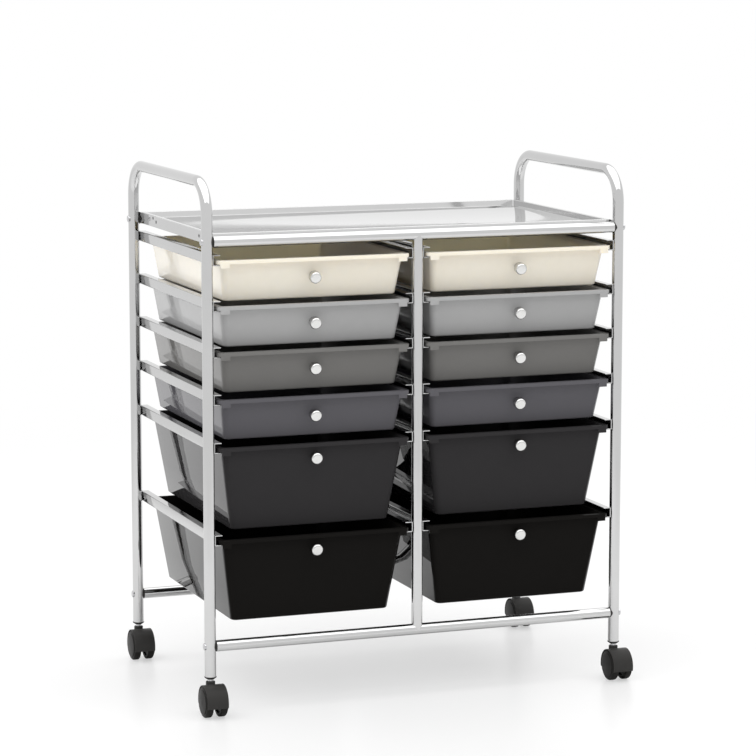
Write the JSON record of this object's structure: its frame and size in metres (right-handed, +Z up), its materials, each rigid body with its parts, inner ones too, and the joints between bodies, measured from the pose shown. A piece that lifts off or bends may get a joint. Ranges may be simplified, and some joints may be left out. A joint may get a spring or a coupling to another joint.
{
  "type": "rolling drawer cart",
  "caption": "Rolling cart with two columns of sliding plastic drawers in a bright tube frame on swivel casters, with side handles and a shallow tray on top",
  "frame": {"origin": "on the floor, midway between the four wheel axles with the casters trailing as at rest", "axes": "+X to the right as one faces the drawers, +Y from the drawer fronts to the back, +Z up"},
  "size_m": [0.6534, 0.4126, 0.7548],
  "materials": {
    "frame_chrome": "bright chrome plate",
    "rail_chrome": "bright plated sheet",
    "tray_chrome": "bright plated sheet",
    "fastener_steel": "zinc plate",
    "knob_metal": "satin",
    "caster_plastic": "moulded",
    "wheel_plastic": "moulded",
    "drawer_cream": "moulded gloss",
    "drawer_light_grey": "moulded gloss",
    "drawer_mid_grey": "moulded gloss",
    "drawer_dark_grey": "moulded gloss",
    "drawer_charcoal": "moulded gloss",
    "drawer_black": "moulded gloss"
  },
  "bodies": {
    "frame": {"left_side_frame": "frame_chrome", "right_side_frame": "frame_chrome", "front_bottom_bar": "frame_chrome", "front_top_bar": "frame_chrome", "front_mid_post": "frame_chrome", "rear_bottom_bar": "frame_chrome", "rear_top_bar": "frame_chrome", "rear_mid_post": "frame_chrome", "left_outer_rails": "rail_chrome", "right_outer_rails": "rail_chrome", "middle_rails": "rail_chrome", "top_side_rails": "rail_chrome", "top_tray": "tray_chrome", "frame_bolts": "fastener_steel", "bar_end_plugs": "caster_plastic", "caster_sockets": "caster_plastic"},
    "left_drawer_1": {"left_drawer_1_tub": "drawer_cream", "left_drawer_1_knob": "knob_metal"},
    "left_drawer_2": {"left_drawer_2_tub": "drawer_light_grey", "left_drawer_2_knob": "knob_metal"},
    "left_drawer_3": {"left_drawer_3_tub": "drawer_mid_grey", "left_drawer_3_knob": "knob_metal"},
    "left_drawer_4": {"left_drawer_4_tub": "drawer_dark_grey", "left_drawer_4_knob": "knob_metal"},
    "left_drawer_5": {"left_drawer_5_tub": "drawer_charcoal", "left_drawer_5_knob": "knob_metal"},
    "left_drawer_6": {"left_drawer_6_tub": "drawer_black", "left_drawer_6_knob": "knob_metal"},
    "right_drawer_1": {"right_drawer_1_tub": "drawer_cream", "right_drawer_1_knob": "knob_metal"},
    "right_drawer_2": {"right_drawer_2_tub": "drawer_light_grey", "right_drawer_2_knob": "knob_metal"},
    "right_drawer_3": {"right_drawer_3_tub": "drawer_mid_grey", "right_drawer_3_knob": "knob_metal"},
    "right_drawer_4": {"right_drawer_4_tub": "drawer_dark_grey", "right_drawer_4_knob": "knob_metal"},
    "right_drawer_5": {"right_drawer_5_tub": "drawer_charcoal", "right_drawer_5_knob": "knob_metal"},
    "right_drawer_6": {"right_drawer_6_tub": "drawer_black", "right_drawer_6_knob": "knob_metal"},
    "front_left_caster": {"front_left_caster_hood": "caster_plastic", "front_left_caster_stem": "fastener_steel", "front_left_caster_axle": "fastener_steel"},
    "front_left_caster_left_wheel": {"front_left_caster_left_wheel": "wheel_plastic"},
    "front_left_caster_right_wheel": {"front_left_caster_right_wheel": "wheel_plastic"},
    "front_right_caster": {"front_right_caster_hood": "caster_plastic", "front_right_caster_stem": "fastener_steel", "front_right_caster_axle": "fastener_steel"},
    "front_right_caster_left_wheel": {"front_right_caster_left_wheel": "wheel_plastic"},
    "front_right_caster_right_wheel": {"front_right_caster_right_wheel": "wheel_plastic"},
    "rear_left_caster": {"rear_left_caster_hood": "caster_plastic", "rear_left_caster_stem": "fastener_steel", "rear_left_caster_axle": "fastener_steel"},
    "rear_left_caster_left_wheel": {"rear_left_caster_left_wheel": "wheel_plastic"},
    "rear_left_caster_right_wheel": {"rear_left_caster_right_wheel": "wheel_plastic"},
    "rear_right_caster": {"rear_right_caster_hood": "caster_plastic", "rear_right_caster_stem": "fastener_steel", "rear_right_caster_axle": "fastener_steel"},
    "rear_right_caster_left_wheel": {"rear_right_caster_left_wheel": "wheel_plastic"},
    "rear_right_caster_right_wheel": {"rear_right_caster_right_wheel": "wheel_plastic"}
  },
  "joints": [
    {"name": "left_drawer_1_slide", "type": "slide", "parent": "frame", "child": "left_drawer_1", "axis": [0, -1, 0], "range_m": [0, 0.26]},
    {"name": "left_drawer_2_slide", "type": "slide", "parent": "frame", "child": "left_drawer_2", "axis": [0, -1, 0], "range_m": [0, 0.26]},
    {"name": "left_drawer_3_slide", "type": "slide", "parent": "frame", "child": "left_drawer_3", "axis": [0, -1, 0], "range_m": [0, 0.26]},
    {"name": "left_drawer_4_slide", "type": "slide", "parent": "frame", "child": "left_drawer_4", "axis": [0, -1, 0], "range_m": [0, 0.26]},
    {"name": "left_drawer_5_slide", "type": "slide", "parent": "frame", "child": "left_drawer_5", "axis": [0, -1, 0], "range_m": [0, 0.26]},
    {"name": "left_drawer_6_slide", "type": "slide", "parent": "frame", "child": "left_drawer_6", "axis": [0, -1, 0], "range_m": [0, 0.26]},
    {"name": "right_drawer_1_slide", "type": "slide", "parent": "frame", "child": "right_drawer_1", "axis": [0, -1, 0], "range_m": [0, 0.26]},
    {"name": "right_drawer_2_slide", "type": "slide", "parent": "frame", "child": "right_drawer_2", "axis": [0, -1, 0], "range_m": [0, 0.26]},
    {"name": "right_drawer_3_slide", "type": "slide", "parent": "frame", "child": "right_drawer_3", "axis": [0, -1, 0], "range_m": [0, 0.26]},
    {"name": "right_drawer_4_slide", "type": "slide", "parent": "frame", "child": "right_drawer_4", "axis": [0, -1, 0], "range_m": [0, 0.26]},
    {"name": "right_drawer_5_slide", "type": "slide", "parent": "frame", "child": "right_drawer_5", "axis": [0, -1, 0], "range_m": [0, 0.26]},
    {"name": "right_drawer_6_slide", "type": "slide", "parent": "frame", "child": "right_drawer_6", "axis": [0, -1, 0], "range_m": [0, 0.26]},
    {"name": "front_left_caster_swivel", "type": "hinge", "parent": "frame", "child": "front_left_caster", "pos_m": [-0.31, -0.169, 0.06], "axis": [0, 0, 1], "continuous": true},
    {"name": "front_left_caster_left_wheel_roll", "type": "hinge", "parent": "front_left_caster", "child": "front_left_caster_left_wheel", "pos_m": [-0.31, -0.1825, 0.022], "axis": [1, 0, 0], "continuous": true},
    {"name": "front_left_caster_right_wheel_roll", "type": "hinge", "parent": "front_left_caster", "child": "front_left_caster_right_wheel", "pos_m": [-0.31, -0.1825, 0.022], "axis": [1, 0, 0], "continuous": true},
    {"name": "front_right_caster_swivel", "type": "hinge", "parent": "frame", "child": "front_right_caster", "pos_m": [0.31, -0.169, 0.06], "axis": [0, 0, 1], "continuous": true},
    {"name": "front_right_caster_left_wheel_roll", "type": "hinge", "parent": "front_right_caster", "child": "front_right_caster_left_wheel", "pos_m": [0.31, -0.1825, 0.022], "axis": [1, 0, 0], "continuous": true},
    {"name": "front_right_caster_right_wheel_roll", "type": "hinge", "parent": "front_right_caster", "child": "front_right_caster_right_wheel", "pos_m": [0.31, -0.1825, 0.022], "axis": [1, 0, 0], "continuous": true},
    {"name": "rear_left_caster_swivel", "type": "hinge", "parent": "frame", "child": "rear_left_caster", "pos_m": [-0.31, 0.196, 0.06], "axis": [0, 0, 1], "continuous": true},
    {"name": "rear_left_caster_left_wheel_roll", "type": "hinge", "parent": "rear_left_caster", "child": "rear_left_caster_left_wheel", "pos_m": [-0.31, 0.1825, 0.022], "axis": [1, 0, 0], "continuous": true},
    {"name": "rear_left_caster_right_wheel_roll", "type": "hinge", "parent": "rear_left_caster", "child": "rear_left_caster_right_wheel", "pos_m": [-0.31, 0.1825, 0.022], "axis": [1, 0, 0], "continuous": true},
    {"name": "rear_right_caster_swivel", "type": "hinge", "parent": "frame", "child": "rear_right_caster", "pos_m": [0.31, 0.196, 0.06], "axis": [0, 0, 1], "continuous": true},
    {"name": "rear_right_caster_left_wheel_roll", "type": "hinge", "parent": "rear_right_caster", "child": "rear_right_caster_left_wheel", "pos_m": [0.31, 0.1825, 0.022], "axis": [1, 0, 0], "continuous": true},
    {"name": "rear_right_caster_right_wheel_roll", "type": "hinge", "parent": "rear_right_caster", "child": "rear_right_caster_right_wheel", "pos_m": [0.31, 0.1825, 0.022], "axis": [1, 0, 0], "continuous": true}
  ]
}
